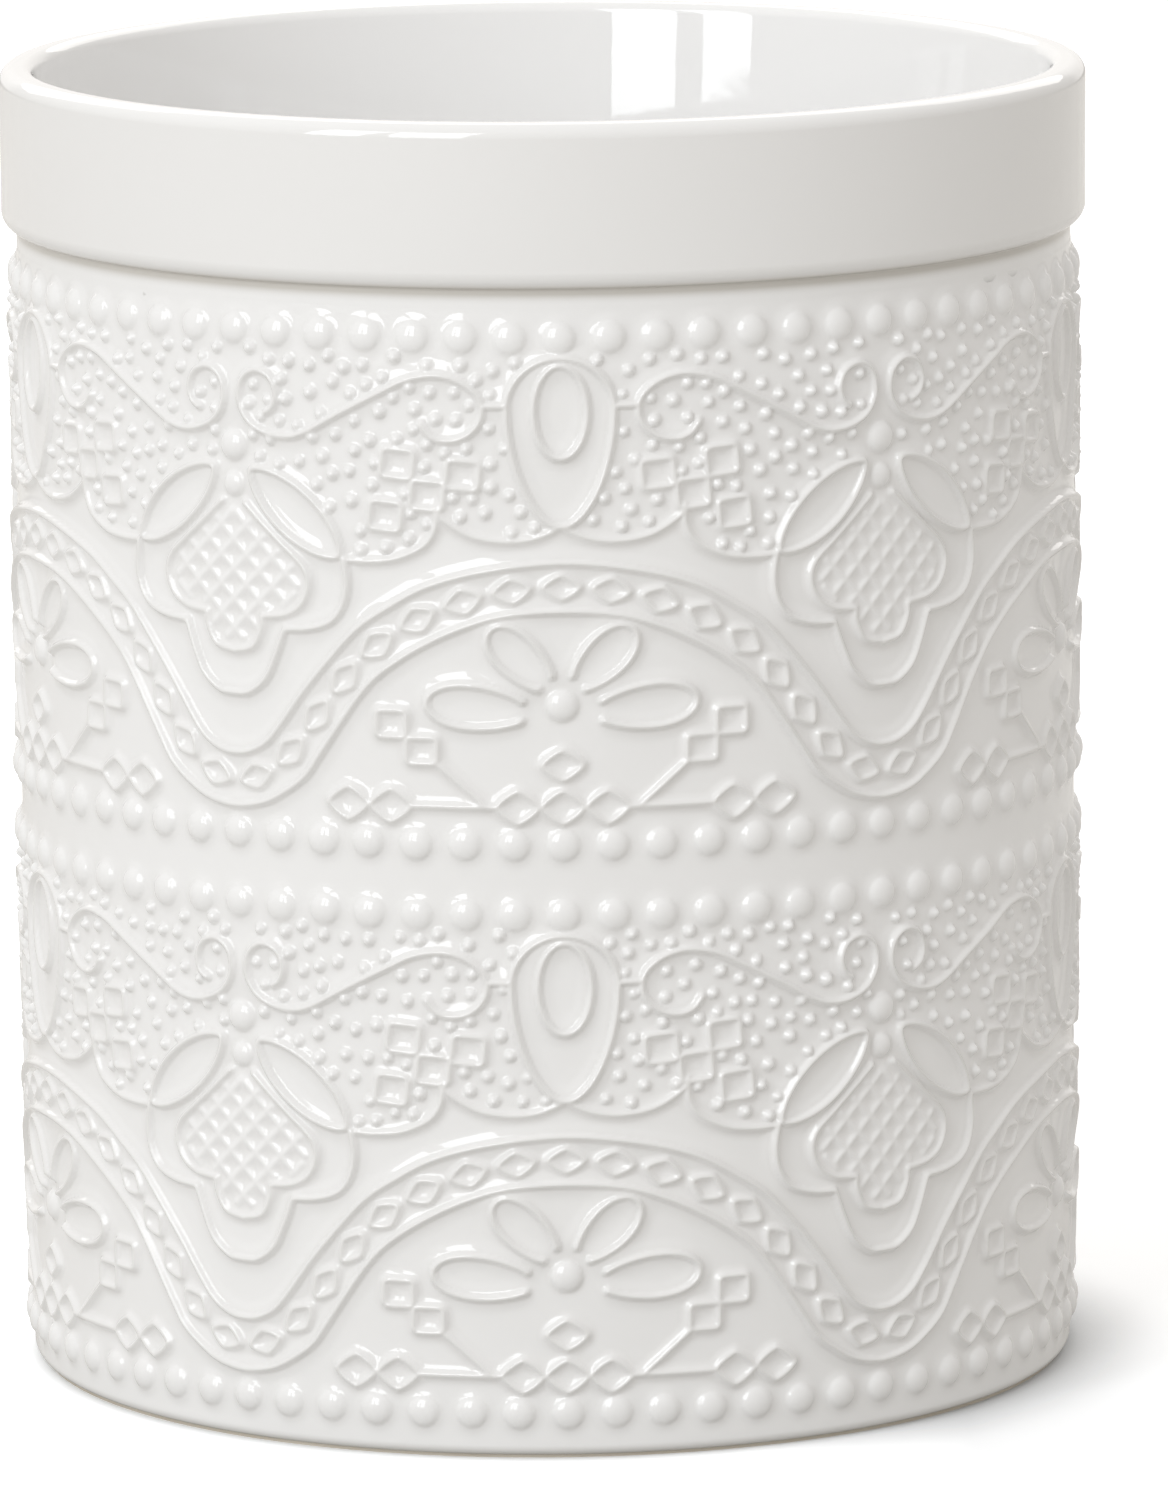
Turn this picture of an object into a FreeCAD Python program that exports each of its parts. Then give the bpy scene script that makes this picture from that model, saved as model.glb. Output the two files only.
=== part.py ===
# Utensil crock: a straight glazed stoneware jar with a raised collar round its mouth and two
# equal tiers of lace relief on its wall. Lengths are in millimetres. +Z is up, the origin is
# the centre of the base, and a drop motif of the relief faces -Y.

import FreeCAD
import Part
import Sketcher
import math
import os

# Driving sizes: alias in the sheet, value, meaning
SIZES = (
    ("overall_height", 181.1, "table to rim"),
    ("body_radius", 72.95, "outside of the plain wall"),
    ("wall_thickness", 5.4, "wall below the collar"),
    ("floor_thickness", 6.0, "floor of the jar"),
    ("base_round", 1.0, "outside edge at the base"),
    ("foot_setback", 0.4, "from the base rounding in to the foot ring"),
    ("foot_width", 7.0, "radial width of the foot ring"),
    ("foot_height", 0.4, "foot ring under the base"),
    ("collar_height", 23.2, "raised band at the mouth"),
    ("collar_thickness", 2.05, "collar outside the plain wall"),
    ("collar_under_round", 1.8, "lower outside edge of the collar"),
    ("rim_round", 2.0, "both top edges of the rim"),
    ("mouth_radius", 70.2, "inside of the collar at the rim, where the bore has opened out"),
    ("neck_margin", 5.4, "top pearl row to the collar"),
    ("tier_gap", 9.6, "between the two tiers, from pearl row to pearl row"),
    ("base_margin", 6.4, "lowest pearl row above the table"),
    ("pearl_radius", 2.4, "half the width of a pearl at the wall"),
    ("pearl_rise", 1.1, "pearl above the wall"),
    ("knot_radius", 1.8, "half the width of the smaller knot at the wall"),
    ("knot_rise", 1.1, "smaller knot above the wall"),
    ("pearl_clearance", 0.3, "pearl row to the motif beside it"),
    ("line_width", 1.1, "raised line of the relief"),
    ("line_rise", 0.7, "raised line above the wall"),
    ("frame_width", 0.7, "raised line round a small square, diamond or lozenge"),
    ("lattice_spacing", 3.0, "from line to line of the palmette lattice"),
    ("cut_overrun", 1.0, "tool past the face that it cuts"),
)

# Counts and angles of the relief
REPEATS = 5
PEARLS_PER_REPEAT = 14
LOZENGES_PER_REPEAT = 17
LATTICE_LINES = 5
SIDE_PETAL_TILT = 6.0
UPPER_PETAL_TILT = 44.0
FULL_TURN = 360.0

# Places in the relief: across as a share of half a repeat, with the drop at 0 and the palmette
# at 1, and up as a share of the height between the two pearl rows of a tier
drop_side_share = (0.155, 0.852)
drop_flank_share = (0.129, 0.728)
drop_tip_share = (0.0, 0.621)
oval_centre_share = (0.0, 0.838)
oval_half_share = (0.072, 0.080)
scallop_shares = (
    (0.055, 0.611), (0.180, 0.593), (0.350, 0.645), (0.395, 0.578),
    (0.480, 0.554), (0.535, 0.549), (0.590, 0.550),
)
scroll_shares = (
    (0.384, 0.827), (0.296, 0.794), (0.216, 0.843), (0.246, 0.895), (0.330, 0.917), (0.480, 0.899),
    (0.645, 0.838),
    (0.770, 0.799), (0.885, 0.798), (0.966, 0.852), (0.918, 0.915), (0.857, 0.897), (0.855, 0.857),
)
check_shares = ((0.281, 0.722), (0.472, 0.744), (0.382, 0.681), (0.511, 0.637))
check_half_share = (0.044, 0.028)
upper_knot_share = (1.0, 0.779)
lower_knot_share = (1.0, 0.703)
leaf_shares = ((0.640, 0.562), (0.741, 0.670), (0.937, 0.725), (0.861, 0.618), (0.640, 0.562))
palmette_lobe_shares = ((0.632, 0.528), (0.648, 0.452), (0.735, 0.411))
palmette_foot_shares = ((0.830, 0.408), (0.880, 0.325), (1.0, 0.281))
clover_top_share = (1.0, 0.655)
clover_lobe_shares = ((0.800, 0.540), (0.775, 0.480), (0.842, 0.440))
clover_foot_shares = ((0.918, 0.434), (0.940, 0.380), (1.0, 0.363))
lattice_centre_share = (1.0, 0.505)
outer_rail_shares = ((0.0, 0.550), (0.602, 0.421), (0.852, 0.224), (1.0, 0.162))
inner_rail_shares = ((0.0, 0.455), (0.535, 0.333), (0.733, 0.165), (1.0, 0.050))
rail_joint_share = 0.70
lozenge_length_share = 0.40
lozenge_width_share = 0.27
flower_centre_share = (0.0, 0.268)
side_petal_share = (0.242, 0.265)
side_petal_half_share = (0.148, 0.044)
upper_petal_share = (0.116, 0.356)
upper_petal_half_share = (0.112, 0.041)
diamond_half_share = (0.062, 0.029)
diamond_row_share = 0.133
top_diamond_share = (0.0, 0.151)
chain_shares = (0.216, 0.430)
outer_diamond_shares = (0.519, 0.652)
step_shares = ((0.422, 0.177), (0.520, 0.235))
step_line_shares = ((0.250, 0.088), (0.360, 0.141))

doc = FreeCAD.newDocument("utensil_crock")


def make_sheet():
    """Spreadsheet of the driving sizes; returns its values by alias."""
    table = doc.addObject("Spreadsheet::Sheet", "Sizes")
    for row, (alias, value, meaning) in enumerate(SIZES, start=1):
        table.set("A%d" % row, alias)
        table.set("B%d" % row, str(value))
        table.set("C%d" % row, meaning)
        table.setAlias("B%d" % row, alias)
    doc.recompute()
    return {alias: float(table.get(alias)) for alias, value, meaning in SIZES}


size = make_sheet()

# Sizes that follow from the driving ones
wall = size["body_radius"]
half_repeat = math.pi * wall / REPEATS
half_angle = FULL_TURN / 2 / REPEATS
rows_space = size["overall_height"] - size["collar_height"] - size["neck_margin"] - size["base_margin"]
tier_height = (rows_space - size["tier_gap"]) / 2
tier_bases = {
    "lower": size["base_margin"],
    "upper": size["base_margin"] + tier_height + size["tier_gap"],
}
relief_face = wall + size["line_rise"]
half_line = size["line_width"] / 2
upward = FreeCAD.Vector(0, 0, 1)
centre = FreeCAD.Vector(0, 0, 0)


# Revolved bodies

bore = ("body_radius", "-wall_thickness")


def amount(terms):
    """Value of a sum of sheet names, where a leading minus subtracts."""
    return sum(-size[term[1:]] if term.startswith("-") else size[term] for term in terms)


def formula(terms):
    """The same sum as an expression on the sheet."""
    signed = ["-Sizes." + term[1:] if term.startswith("-") else "+Sizes." + term for term in terms]
    return "".join(signed).lstrip("+")


def pin_corner(sketch, index, axis_terms, kind, axis_id):
    """Hold one coordinate of a sketch corner, on an axis or at a distance read from the sheet."""
    if not axis_terms:
        sketch.addConstraint(Sketcher.Constraint("PointOnObject", index, 1, axis_id))
        return
    number = sketch.addConstraint(Sketcher.Constraint(kind, -1, 1, index, 1, amount(axis_terms)))
    sketch.setExpression("Constraints[%d]" % number, formula(axis_terms))


def revolve(label, corners):
    """Body turned about Z from a closed outline of (radius terms, height terms) corners."""
    body = doc.addObject("PartDesign::Body", label)
    plane = [item for item in body.Origin.OriginFeatures if item.Role == "XZ_Plane"][0]
    sketch = body.newObject("Sketcher::SketchObject", label + "_outline")
    sketch.AttachmentSupport = [(plane, "")]
    sketch.MapMode = "FlatFace"
    points = [FreeCAD.Vector(amount(across), amount(up), 0) for across, up in corners]
    for index, point in enumerate(points):
        sketch.addGeometry(Part.LineSegment(point, points[(index + 1) % len(points)]), False)
    for index in range(len(points)):
        sketch.addConstraint(Sketcher.Constraint("Coincident", index, 2, (index + 1) % len(points), 1))
    for index, (across, up) in enumerate(corners):
        pin_corner(sketch, index, across, "DistanceX", -2)
        pin_corner(sketch, index, up, "DistanceY", -1)
    lathe = body.newObject("PartDesign::Revolution", label + "_lathe")
    lathe.Profile = sketch
    lathe.ReferenceAxis = (sketch, ["V_Axis"])
    lathe.Angle = FULL_TURN
    doc.recompute()
    return body


def round_edges(body, places, alias):
    """Fillet the circular edges of a body at the given (radius terms, height terms) corners."""
    base = body.Tip
    names = []
    for number, edge in enumerate(base.Shape.Edges, start=1):
        if not isinstance(edge.Curve, Part.Circle):
            continue
        for across, up in places:
            radius_gap = abs(edge.Curve.Radius - amount(across))
            height_gap = abs(edge.Curve.Center.z - amount(up))
            if max(radius_gap, height_gap) < Part.Precision.confusion() * 10:
                names.append("Edge%d" % number)
    fillet = body.newObject("PartDesign::Fillet", "%s_%s" % (body.Label, alias))
    fillet.Base = (base, names)
    fillet.setExpression("Radius", "Sizes." + alias)
    doc.recompute()


def make_crock_wall():
    """Straight tube from the base to the underside of the collar."""
    outside = ("body_radius",)
    bottom = ("foot_height",)
    top = ("overall_height", "-collar_height")
    body = revolve("crock_wall", ((bore, bottom), (outside, bottom), (outside, top), (bore, top)))
    round_edges(body, ((outside, bottom),), "base_round")
    return body


def make_crock_floor():
    """Flat disc that closes the tube at its base."""
    bottom = ("foot_height",)
    top = ("foot_height", "floor_thickness")
    return revolve("crock_floor", (((), bottom), (bore, bottom), (bore, top), ((), top)))


def make_rim_collar():
    """Thick ring that stands on the wall and opens out to the mouth."""
    outside = ("body_radius", "collar_thickness")
    mouth = ("mouth_radius",)
    bottom = ("overall_height", "-collar_height")
    top = ("overall_height",)
    body = revolve("rim_collar", ((bore, bottom), (outside, bottom), (outside, top), (mouth, top)))
    round_edges(body, ((outside, top), (mouth, top)), "rim_round")
    round_edges(body, ((outside, bottom),), "collar_under_round")
    return body


def make_foot_ring():
    """Bare ring that the crock stands on."""
    outside = ("body_radius", "-base_round", "-foot_setback")
    inside = outside + ("-foot_width",)
    top = ("foot_height",)
    return revolve("foot_ring", ((inside, ()), (outside, ()), (outside, top), (inside, top)))


# Pearls: balls cut back to the wall

def make_pearl(name, radius_alias, rise_alias):
    """One ball on the front of the wall at height zero, with its part inside the wall cut away."""
    ball = doc.addObject("Part::Sphere", name + "_ball")
    half, rise = "Sizes." + radius_alias, "Sizes." + rise_alias
    round_of_ball = "(%s * %s + %s * %s) / (2 * %s)" % (half, half, rise, rise, rise)
    ball.setExpression("Radius", round_of_ball)
    ball.setExpression("Placement.Base.y", "-Sizes.body_radius - %s + %s" % (rise, round_of_ball))
    core = doc.addObject("Part::Cylinder", name + "_core")
    core.setExpression("Radius", "Sizes.body_radius")
    core.setExpression("Height", "2 * %s + 2 * Sizes.cut_overrun" % round_of_ball)
    core.setExpression("Placement.Base.z", "-%s - Sizes.cut_overrun" % round_of_ball)
    pearl = doc.addObject("Part::Cut", name)
    pearl.Base = ball
    pearl.Tool = core
    doc.recompute()
    return pearl.Shape


def raised(shape, height):
    """Copy of a shape, moved up."""
    copy = shape.copy()
    copy.translate(upward * height)
    return copy


def turned(shape, degrees):
    """Copy of a shape, turned about the axis of the crock."""
    copy = shape.copy()
    copy.rotate(centre, upward, degrees)
    return copy


# Flat drawing of the relief, on a plane that touches the wall

def spot(share, centre_share):
    """Point of the relief on the plane that touches the wall at centre_share."""
    angle = (share[0] - centre_share) * half_repeat / wall
    return FreeCAD.Vector(wall * math.sin(angle), -relief_face - size["cut_overrun"], share[1] * tier_height)


def arcs(shares, centre_share):
    """Edges of an arc chain: each arc takes two more places, one on the way and one at its end."""
    points = [spot(share, centre_share) for share in shares]
    return [Part.Arc(*points[start:start + 3]).toShape() for start in range(0, len(points) - 2, 2)]


def straight(first, last, centre_share):
    """Edge between two places."""
    return Part.makeLine(spot(first, centre_share), spot(last, centre_share))


def mirrored(shares, middle):
    """Places reflected about an axis of the relief, in reverse order."""
    return [(2 * middle - across, up) for across, up in reversed(shares)]


def open_line(edges):
    """Face of a raised line along an open chain of edges, with round ends."""
    return Part.Face(Part.Wire(edges).makeOffset2D(half_line))


def bar(first, last):
    """Face of a raised line along a straight run between two points, with square ends."""
    across = (last - first).cross(FreeCAD.Vector(0, 1, 0)).normalize() * half_line
    corners = [first + across, last + across, last - across, first - across]
    return Part.Face(Part.makePolygon(corners + corners[:1]))


def closed_line(edges):
    """Face of a raised line along a closed chain of edges."""
    wire = Part.Wire(edges)
    return Part.Face(wire.makeOffset2D(half_line)).cut(Part.Face(wire.makeOffset2D(-half_line)))


def framed(points):
    """Frame of raised line just inside a polygon."""
    wire = Part.makePolygon(points + points[:1])
    return Part.Face(wire).cut(Part.Face(wire.makeOffset2D(-size["frame_width"])))


def polygon_frame(share, centre_share, half_sizes, square):
    """Frame of raised line round a square, or round a diamond standing on its point."""
    middle = spot(share, centre_share)
    corners = ((-1, -1), (1, -1), (1, 1), (-1, 1)) if square else ((-1, 0), (0, -1), (1, 0), (0, 1))
    half_width, half_height = half_sizes
    points = [middle + FreeCAD.Vector(side * half_width, 0, up * half_height) for side, up in corners]
    return framed(points)


def oval_line(share, centre_share, half_sizes, tilt):
    """Raised line round an oval whose long axis is tilted from the horizontal."""
    middle = spot(share, centre_share)
    long_half, short_half = max(half_sizes), min(half_sizes)
    angle = math.radians(tilt)
    along = FreeCAD.Vector(math.cos(angle), 0, math.sin(angle))
    across = FreeCAD.Vector(-math.sin(angle), 0, math.cos(angle))

    def disc(grow):
        long_end = middle + along * (long_half + grow)
        short_end = middle + across * (short_half + grow)
        return Part.Face(Part.Wire(Part.Ellipse(long_end, short_end, middle).toShape()))
    return disc(half_line).cut(disc(-half_line))


def wall_skin(from_angle, to_angle):
    """Slice of the layer on the wall that holds the raised lines."""
    low = FreeCAD.Vector(0, 0, -size["cut_overrun"])
    tall = tier_height + 2 * size["cut_overrun"]
    sweep = to_angle - from_angle
    outer = Part.makeCylinder(relief_face, tall, low, upward, sweep)
    inner = Part.makeCylinder(wall, tall, low, upward, sweep)
    return turned(outer.cut(inner), from_angle - FULL_TURN / 4)


def emboss(faces, centre_share, reach_share=1.0):
    """Raise flat faces off the wall round centre_share, no further to each side than reach_share."""
    skin = wall_skin(-reach_share * half_angle, reach_share * half_angle)
    solids = []
    for face in faces:
        block = face.extrude(FreeCAD.Vector(0, wall, 0))
        solids += block.common(skin).Solids
    return [turned(solid, centre_share * half_angle) for solid in solids]


def both_sides(solids):
    """Solids of the right half, with their mirror images on the left."""
    return solids + [solid.mirror(centre, FreeCAD.Vector(1, 0, 0)) for solid in solids]


def in_sizes(half_share):
    """Half width and half height from shares of half a repeat and of a tier."""
    return half_share[0] * half_repeat, half_share[1] * tier_height


# Motifs of one repeat, as solids at the height of a tier that starts at zero

def drops():
    """Teardrop hanging from the top pearl row, with an oval inside it."""
    top = 1 - (size["pearl_radius"] + size["pearl_clearance"] + half_line) / tier_height
    left_side = (-drop_side_share[0], drop_side_share[1])
    left_flank = (-drop_flank_share[0], drop_flank_share[1])
    right = (drop_side_share, drop_flank_share, drop_tip_share)
    outline = arcs((left_side, (0.0, top)) + right + (left_flank, left_side), 0)
    oval = oval_line(oval_centre_share, 0, in_sizes(oval_half_share), FULL_TURN / 4)
    return emboss([closed_line(outline), oval], 0)


def scallops():
    """Border line under the stippled ground, from the drop to the palmette."""
    middle = scallop_shares[2][0]
    return both_sides(emboss([open_line(arcs(scallop_shares, middle))], middle))


def scrolls():
    """S-shaped scroll with a curl at each end."""
    middle = scroll_shares[6][0]
    return both_sides(emboss([open_line(arcs(scroll_shares, middle))], middle))


def checks():
    """Small squares set corner to corner."""
    middle = check_shares[2][0]
    faces = [polygon_frame(share, middle, in_sizes(check_half_share), True) for share in check_shares]
    return both_sides(emboss(faces, middle))


def knots():
    """Two balls one above the other over the palmette."""
    return [
        turned(raised(pearl_shape, upper_knot_share[1] * tier_height), half_angle),
        turned(raised(knot_shape, lower_knot_share[1] * tier_height), half_angle),
    ]


def leaves():
    """Pointed leaf on each side above the palmette."""
    middle = leaf_shares[1][0]
    return both_sides(emboss([closed_line(arcs(leaf_shares, middle))], middle))


def palmettes():
    """Outer line of the palmette, open at its top."""
    lobe = arcs(palmette_lobe_shares, 1)
    lobe.append(straight(palmette_lobe_shares[-1], palmette_foot_shares[0], 1))
    lobe += arcs(palmette_foot_shares, 1)
    lobe += arcs(mirrored(palmette_foot_shares, 1), 1)
    lobe.append(straight(*mirrored((palmette_lobe_shares[-1], palmette_foot_shares[0]), 1), 1))
    lobe += arcs(mirrored(palmette_lobe_shares, 1), 1)
    return emboss([open_line(lobe)], 1)


def clover_edges():
    """Closed outline of the lattice inside the palmette."""
    half = [straight(clover_top_share, clover_lobe_shares[0], 1)]
    half += arcs(clover_lobe_shares, 1)
    half.append(straight(clover_lobe_shares[-1], clover_foot_shares[0], 1))
    half += arcs(clover_foot_shares, 1)
    half += arcs(mirrored(clover_foot_shares, 1), 1)
    half.append(straight(*mirrored((clover_lobe_shares[-1], clover_foot_shares[0]), 1), 1))
    half += arcs(mirrored(clover_lobe_shares, 1), 1)
    half.append(straight(*mirrored((clover_top_share, clover_lobe_shares[0]), 1), 1))
    return half


def lattices():
    """Clover outline filled with a diagonal lattice, in one piece."""
    outline = Part.Wire(clover_edges())
    middle = spot(lattice_centre_share, 1)
    lines = []
    for slope in (1, -1):
        along = FreeCAD.Vector(1, 0, slope).normalize()
        across = FreeCAD.Vector(-slope, 0, 1).normalize()
        for number in range(-LATTICE_LINES, LATTICE_LINES + 1):
            start = middle + across * number * size["lattice_spacing"]
            lines.append(bar(start - along * half_repeat, start + along * half_repeat))
    cells = Part.Face(outline.makeOffset2D(-half_line)).cut(lines)
    net = Part.Face(outline.makeOffset2D(half_line)).cut(cells.Faces)
    return emboss(net.Faces, 1)


def rail_edges(shares, centre_share, middle):
    """Rail of the festoon over one crest or one valley: arc at the middle, straight flanks."""
    crest, shoulder, hip, valley = shares
    if middle == 0:
        return [
            straight((-hip[0], hip[1]), (-shoulder[0], shoulder[1]), centre_share),
            arcs(((-shoulder[0], shoulder[1]), crest, shoulder), centre_share)[0],
            straight(shoulder, hip, centre_share),
        ]
    far_hip, far_shoulder = mirrored((shoulder, hip), 1)
    return [
        straight(shoulder, hip, centre_share),
        arcs((hip, valley, far_hip), centre_share)[0],
        straight(far_hip, far_shoulder, centre_share),
    ]


def festoon_rails():
    """Two parallel wavy lines, in lengths that meet on the flanks of the wave."""
    solids = []
    for shares in (outer_rail_shares, inner_rail_shares):
        solids += emboss([open_line(rail_edges(shares, 0, 0))], 0, rail_joint_share)
        solids += emboss([open_line(rail_edges(shares, 1, 1))], 1, 1 - rail_joint_share)
    return solids


def festoon_path():
    """Middle of the festoon over one repeat, unrolled flat, and its width at the crest."""
    pairs = zip(outer_rail_shares, inner_rail_shares)
    crest, shoulder, hip, valley = [in_sizes(((a[0] + b[0]) / 2, (a[1] + b[1]) / 2)) for a, b in pairs]

    def flat(place, side=1):
        return FreeCAD.Vector(side * place[0], 0, place[1])
    valley_arc = Part.Arc(flat(hip), flat(valley), flat((2 * valley[0] - hip[0], hip[1])))
    halfway = (valley_arc.FirstParameter + valley_arc.LastParameter) / 2
    half_valley = valley_arc.toShape(valley_arc.FirstParameter, halfway)
    edges = [
        half_valley.mirror(centre, FreeCAD.Vector(1, 0, 0)),
        Part.makeLine(flat(hip, -1), flat(shoulder, -1)),
        Part.Arc(flat(shoulder, -1), flat(crest), flat(shoulder)).toShape(),
        Part.makeLine(flat(shoulder), flat(hip)),
        half_valley,
    ]
    return Part.Wire(edges), in_sizes((0, outer_rail_shares[0][1] - inner_rail_shares[0][1]))[1]


def festoon_lozenges():
    """Chain of lozenge frames between the rails, evenly spaced along the wave."""
    path, width = festoon_path()
    stops = path.discretize(Number=2 * LOZENGES_PER_REPEAT + 1)
    half_length = lozenge_length_share * path.Length / LOZENGES_PER_REPEAT
    half_width = lozenge_width_share * width
    solids = []
    for number in range(LOZENGES_PER_REPEAT):
        before, middle, after = stops[2 * number:2 * number + 3]
        along = (after - before).normalize()
        across = FreeCAD.Vector(-along.z, 0, along.x)
        place = spot((0, middle.z / tier_height), 0)
        points = [place + along * half_length, place + across * half_width]
        points += [place - along * half_length, place - across * half_width]
        solids += emboss([framed(points)], middle.x / half_repeat)
    return solids


def flowers():
    """Four petals and a ball under the crest of the festoon."""
    side = oval_line(side_petal_share, 0, in_sizes(side_petal_half_share), SIDE_PETAL_TILT)
    upper = oval_line(upper_petal_share, 0, in_sizes(upper_petal_half_share), UPPER_PETAL_TILT)
    petals = both_sides(emboss([side, upper], 0))
    return petals + [raised(pearl_shape, flower_centre_share[1] * tier_height)]


def chain_rise_share():
    """Height of the diamond chain, clear of the pearl row below it."""
    half_height = in_sizes(diamond_half_share)[1]
    return (size["pearl_radius"] + size["pearl_clearance"] + half_height) / tier_height


def diamonds():
    """Diamond under the flower, the row of three below it, and the chain to each side."""
    half_sizes = in_sizes(diamond_half_share)
    level = chain_rise_share()
    middle_places = (top_diamond_share, (-diamond_row_share, level), (0.0, level), (diamond_row_share, level))
    middle_row = emboss([polygon_frame(place, 0, half_sizes, False) for place in middle_places], 0)
    middle = chain_shares[1]
    side = [bar(spot((chain_shares[0], level), middle), spot((chain_shares[1], level), middle))]
    side += [polygon_frame((across, level), middle, half_sizes, False) for across in outer_diamond_shares]
    return middle_row + both_sides(emboss(side, middle))


def steps():
    """Two squares climbing towards the festoon, on a slanting line."""
    middle = step_shares[0][0]
    faces = [polygon_frame(share, middle, in_sizes(check_half_share), True) for share in step_shares]
    faces.append(bar(spot(step_line_shares[0], middle), spot(step_line_shares[1], middle)))
    return both_sides(emboss(faces, middle))


# Sub-parts

def ring_of(solids, copies):
    """Compound of solids repeated evenly round the axis."""
    turns = [number * FULL_TURN / copies for number in range(copies)]
    return Part.makeCompound([turned(solid, turn) for turn in turns for solid in solids])


def add_relief(label, shape, height):
    """Document object for one kind of relief on one tier."""
    item = doc.addObject("Part::Feature", label)
    item.Shape = shape
    item.Placement = FreeCAD.Placement(upward * height, FreeCAD.Rotation())
    return item


def make_relief():
    """All relief of both tiers, each kind a sub-part of its own."""
    kinds = (
        drops, scallops, scrolls, checks, knots, leaves, palmettes, lattices,
        festoon_rails, festoon_lozenges, flowers, diamonds, steps,
    )
    made = []
    pearl_ring = ring_of([pearl_shape], REPEATS * PEARLS_PER_REPEAT)
    for tier, base in tier_bases.items():
        made.append(add_relief(tier + "_tier_bottom_pearls", pearl_ring, base))
        made.append(add_relief(tier + "_tier_top_pearls", pearl_ring, base + tier_height))
    for kind in kinds:
        ring = ring_of(kind(), REPEATS)
        for tier, base in tier_bases.items():
            made.append(add_relief("%s_%s" % (tier, kind.__name__), ring, base))
    return made


pearl_shape = make_pearl("pearl", "pearl_radius", "pearl_rise")
knot_shape = make_pearl("knot", "knot_radius", "knot_rise")
parts = [make_crock_wall(), make_crock_floor(), make_rim_collar(), make_foot_ring()] + make_relief()
doc.recompute()

# Every object of the document is sound before anything is written
for item in doc.Objects:
    if "Invalid" in item.State or "Error" in item.State:
        raise RuntimeError("%s failed: %s" % (item.Label, item.State))
for item in parts:
    if item.Shape.isNull() or not item.Shape.isValid() or not item.Shape.Solids:
        raise RuntimeError("%s has no valid solid" % item.Label)

os.makedirs("parts", exist_ok=True)
for item in parts:
    item.Shape.exportStep("parts/%s.step" % item.Label)
    print("%-26s %3d solids %10.1f mm3" % (item.Label, len(item.Shape.Solids), item.Shape.Volume))
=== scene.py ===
import math

import bpy
import numpy as np
from mathutils import Matrix, Vector


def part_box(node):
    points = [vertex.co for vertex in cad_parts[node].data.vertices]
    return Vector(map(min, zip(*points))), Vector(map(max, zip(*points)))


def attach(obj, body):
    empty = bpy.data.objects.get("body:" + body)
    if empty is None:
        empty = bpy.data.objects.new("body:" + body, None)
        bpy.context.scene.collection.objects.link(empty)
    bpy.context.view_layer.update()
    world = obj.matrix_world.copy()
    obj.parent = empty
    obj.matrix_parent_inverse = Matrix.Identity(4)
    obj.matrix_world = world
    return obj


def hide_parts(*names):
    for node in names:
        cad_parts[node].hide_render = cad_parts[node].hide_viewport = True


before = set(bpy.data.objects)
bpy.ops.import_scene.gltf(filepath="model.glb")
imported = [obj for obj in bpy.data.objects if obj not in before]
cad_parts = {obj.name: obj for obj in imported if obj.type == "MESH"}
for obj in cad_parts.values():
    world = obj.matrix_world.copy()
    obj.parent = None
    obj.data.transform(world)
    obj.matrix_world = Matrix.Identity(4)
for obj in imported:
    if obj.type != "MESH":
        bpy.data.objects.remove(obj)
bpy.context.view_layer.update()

MM = 0.001
TINY = 1e-9


def corners(part):
    """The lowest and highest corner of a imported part, in millimetres."""
    low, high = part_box(part)
    return low / MM, high / MM


def row_height(part):
    """The height of the middle of a row of pearls."""
    low, high = corners(part)
    return (low.z + high.z) / 2


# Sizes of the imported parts, in millimetres
WALL_RADIUS = corners("crock_wall")[1].x
WALL_FOOT = corners("crock_wall")[0].z
COLLAR_RADIUS = corners("rim_collar")[1].x
COLLAR_FOOT = corners("rim_collar")[0].z
RIM = corners("rim_collar")[1].z
FLOOR_TOP = corners("crock_floor")[1].z
BORE_RADIUS = corners("crock_floor")[1].x
TIERS = (
    ("lower", row_height("lower_tier_bottom_pearls"), row_height("lower_tier_top_pearls")),
    ("upper", row_height("upper_tier_bottom_pearls"), row_height("upper_tier_top_pearls")),
)
REPEATS = 5
HALF_REPEAT = math.pi * WALL_RADIUS / REPEATS

# The outside wall, in millimetres: its rounded foot, a slight swell and a slight taper below
BASE_ROUND = 1.5
BULGE = 0.45
BULGE_FADE = 9.0
TAPER = 0.65
STEP = 0.28

# The turned surfaces, in millimetres, with angles in degrees
NECK_JOIN = 1.6
NECK_OVERLAP = 1.2
NECK_ROWS = 7
SEAM_DEPTH = 0.01
CREASE_ROUND = 0.35
CREASE_RISE = 1.0
COLLAR_UNDER_ROUND = 2.4
COLLAR_SHARES = (0.2, 0.3, 0.45, 0.6, 0.75)
RIM_OUTER_ROUND = 2.1
RIM_INNER_ROUND = 1.7
RIM_TOP_ANGLES = (88, 92)
MOUTH_RADIUS = 70.2
FLARE_SHARES = np.linspace(0.1, 0.7, 7)
BEND_SHARES = np.linspace(0.1, 1, 10)
BORE_HEIGHTS = (120, 80, 40)
FLOOR_COVE = 6.0
AXIS_GAP = 0.01
FLOOR_RADII = (40, 20, AXIS_GAP)
UNDERSIDE = ((AXIS_GAP, 0.3), (40, 0.3), (60, 0.1))
HIDDEN_WALL = 1.4
HIDDEN_FOOT = 0.02
HIDDEN_MIDDLE = 40
HIDDEN_STOP = 0.5
TURNED_STEPS = 360

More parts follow.
